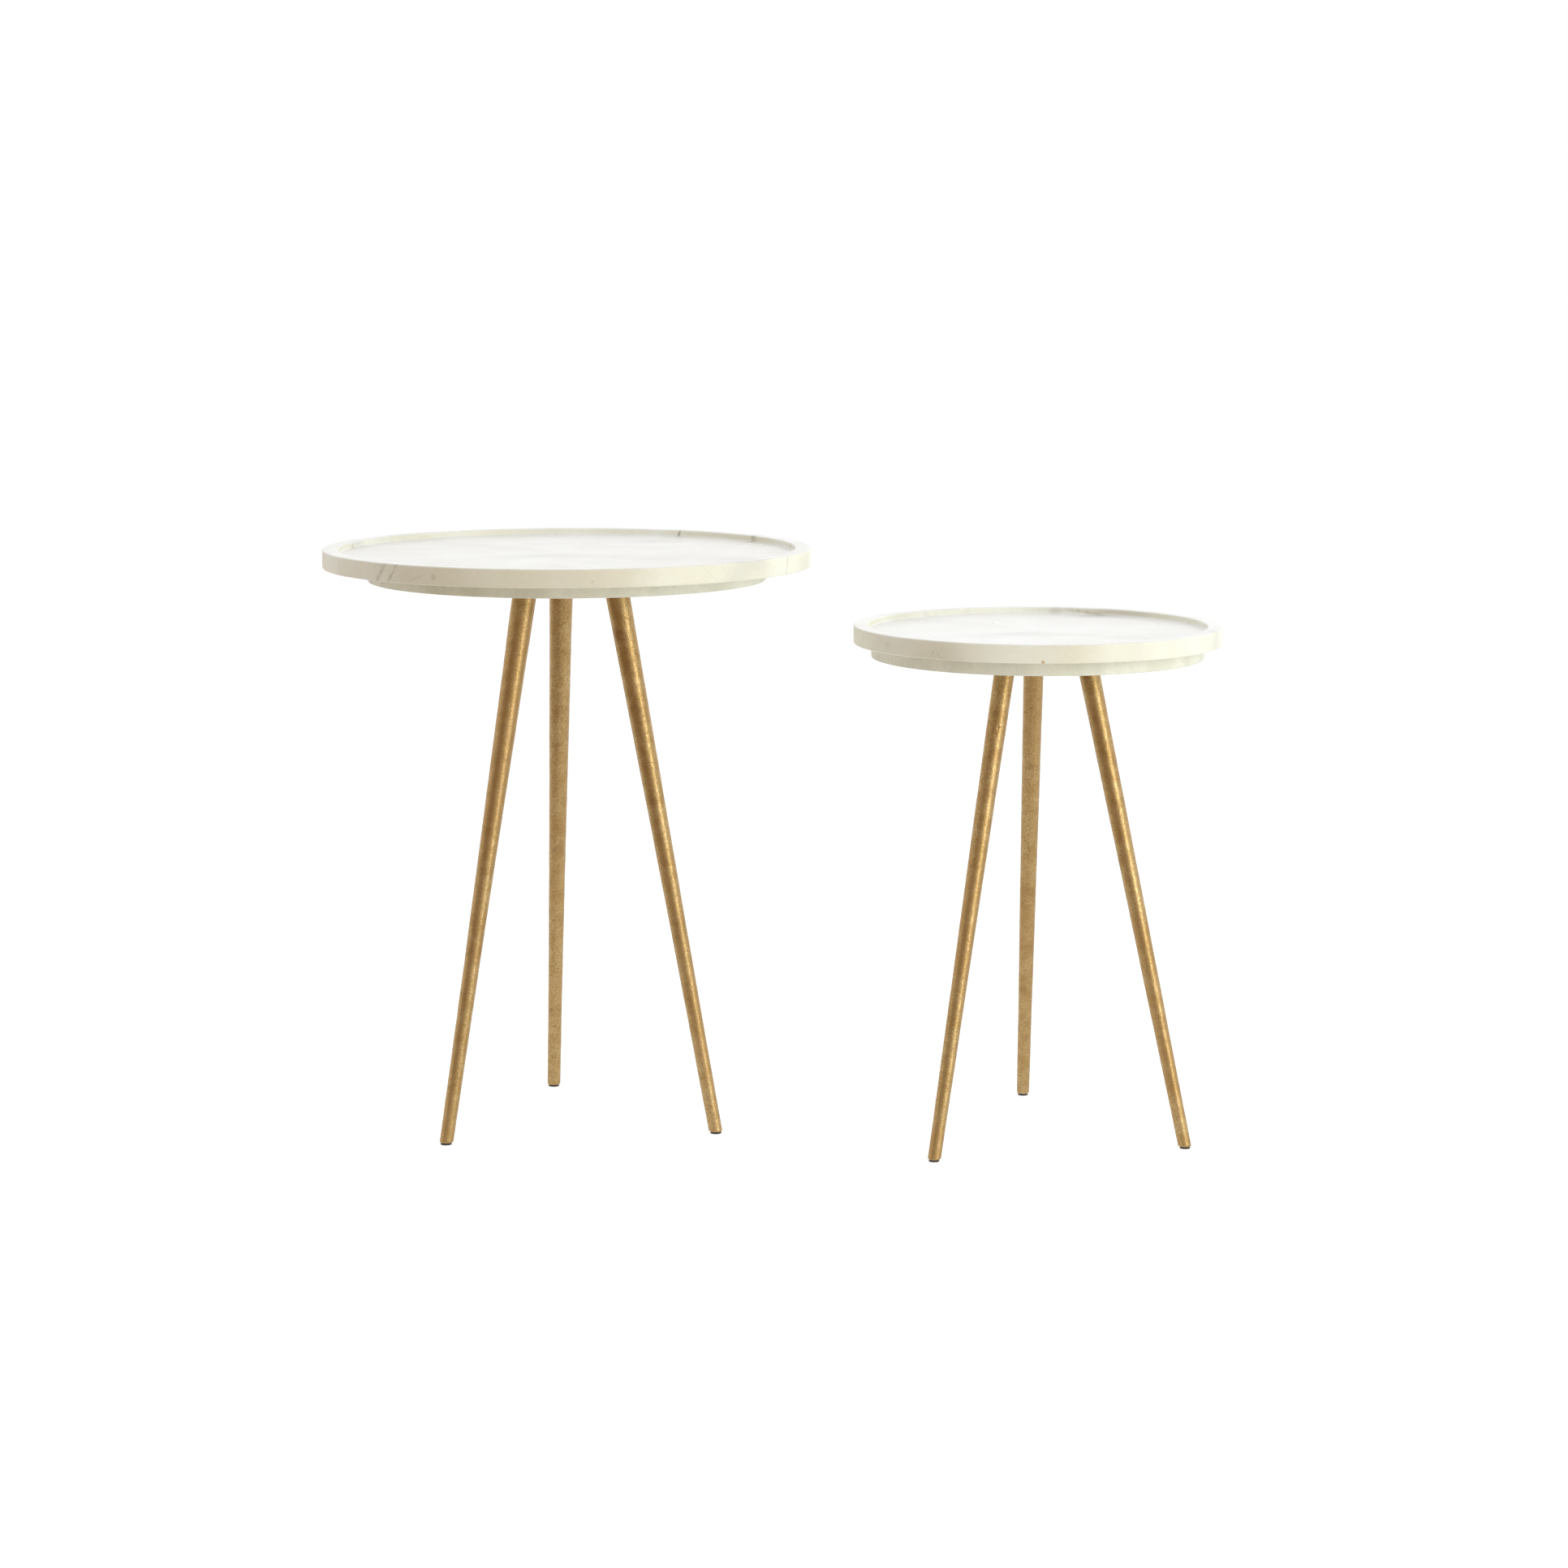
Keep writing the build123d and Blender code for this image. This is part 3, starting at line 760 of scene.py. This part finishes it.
def make_floor():
    """A wide pale studio floor that runs out of sight."""
    half = 14.0
    points = np.array(((-half, -half, 0), (half, -half, 0), (half, half, 0), (-half, half, 0)))
    floor = mesh_piece("studio_floor", points, [(0, 1, 2, 3)])
    material, tree = new_material("matt_white_paper")
    # What the eye sees of the paper is white with the faintest contact shadows; what the tables see
    # of it is bright all round but dims towards the unlit room in front and to the left.
    card = add(tree, "ShaderNodeBsdfDiffuse", {"Color": (0.62, 0.62, 0.61, 1)})
    glow = add(tree, "ShaderNodeEmission", {"Color": (1, 1, 1, 1), "Strength": 0.62})
    paper = add(tree, "ShaderNodeAddShader", {0: card.outputs[0], 1: glow.outputs[0]})
    place = add(tree, "ShaderNodeTexCoord").outputs["Object"]
    away = add(tree, "ShaderNodeVectorMath", {0: place, 1: (ROOM_X, ROOM_Y, 0.0)},
               operation="DOT_PRODUCT").outputs["Value"]
    dim = add(tree, "ShaderNodeMapRange", {"Value": away, "From Min": 0.35, "From Max": 1.05},
              interpolation_type="SMOOTHSTEP").outputs[0]
    tone = blend(tree, dim, (0.97, 0.97, 0.96, 1), (0.34, 0.235, 0.145, 1))
    bounce = add(tree, "ShaderNodeEmission", {"Color": tone, "Strength": 1.0})
    seen = add(tree, "ShaderNodeLightPath").outputs["Is Camera Ray"]
    both = add(tree, "ShaderNodeMixShader", {0: seen, 1: bounce.outputs[0], 2: paper.outputs[0]})
    add(tree, "ShaderNodeOutputMaterial", {"Surface": both.outputs[0]})
    floor.data.materials.append(material)


def softbox(name, place, aim, width, height, power, tint="#FFFFFF"):
    """A rectangular soft light."""
    data = bpy.data.lights.new(name, "AREA")
    data.shape = "RECTANGLE"
    data.size = width
    data.size_y = height
    data.energy = power
    data.color = linear(tint)[:3]
    light = bpy.data.objects.new(name, data)
    scene.collection.objects.link(light)
    light.location = place
    light.rotation_euler = (Vector(aim) - Vector(place)).to_track_quat("-Z", "Y").to_euler()


def surroundings():
    """A bright white cove behind and at the sides, a dim warm room behind the camera's left."""
    world = bpy.data.worlds.new("studio")
    scene.world = world
    world.use_nodes = True
    tree = world.node_tree
    tree.nodes.clear()
    way = add(tree, "ShaderNodeTexCoord").outputs["Generated"]
    room = add(tree, "ShaderNodeVectorMath", {0: way, 1: (ROOM_X, ROOM_Y, -0.60)},
               operation="DOT_PRODUCT").outputs["Value"]
    dim = add(tree, "ShaderNodeMapRange", {"Value": room, "From Min": 0.50, "From Max": 0.90},
              interpolation_type="SMOOTHSTEP").outputs[0]
    sideways = add(tree, "ShaderNodeSeparateXYZ", {0: way}).outputs["X"]
    right = add(tree, "ShaderNodeMapRange", {"Value": sideways, "From Min": 0.1, "From Max": 0.9},
                interpolation_type="SMOOTHSTEP").outputs[0]
    cove = blend(tree, right, (1.10, 1.07, 1.02, 1), (1.14, 1.14, 1.12, 1))
    behind = add(tree, "ShaderNodeSeparateXYZ", {0: way}).outputs["Y"]
    behind = add(tree, "ShaderNodeMapRange", {"Value": behind, "From Min": 0.75, "From Max": 1.0},
                 interpolation_type="SMOOTHSTEP").outputs[0]
    cove = blend(tree, behind, cove, (1.32, 1.32, 1.32, 1))
    rise = add(tree, "ShaderNodeSeparateXYZ", {0: way}).outputs["Z"]
    above = add(tree, "ShaderNodeMapRange", {"Value": rise, "From Min": 0.25, "From Max": 0.70},
                interpolation_type="SMOOTHSTEP").outputs[0]
    cove = blend(tree, above, cove, (0.66, 0.67, 0.68, 1))
    tone = blend(tree, dim, cove, (0.27, 0.155, 0.10, 1))
    around = add(tree, "ShaderNodeBackground", {"Color": tone, "Strength": 1.0})
    plain = add(tree, "ShaderNodeBackground", {"Color": (1, 1, 1, 1), "Strength": 1.0})
    seen = add(tree, "ShaderNodeLightPath").outputs["Is Camera Ray"]
    both = add(tree, "ShaderNodeMixShader", {0: seen, 1: around.outputs[0], 2: plain.outputs[0]})
    add(tree, "ShaderNodeOutputWorld", {"Surface": both.outputs[0]})


make_floor()
softbox("key_softbox", (1.88, -1.36, 1.0), (0.03, 0.0, 0.75), 0.50, 2.0, 17, "#FBFFF4")
softbox("overhead_softbox", (0.3, 0.3, 2.3), (0.05, 0.0, 0.4), 1.6, 1.6, 5)
surroundings()
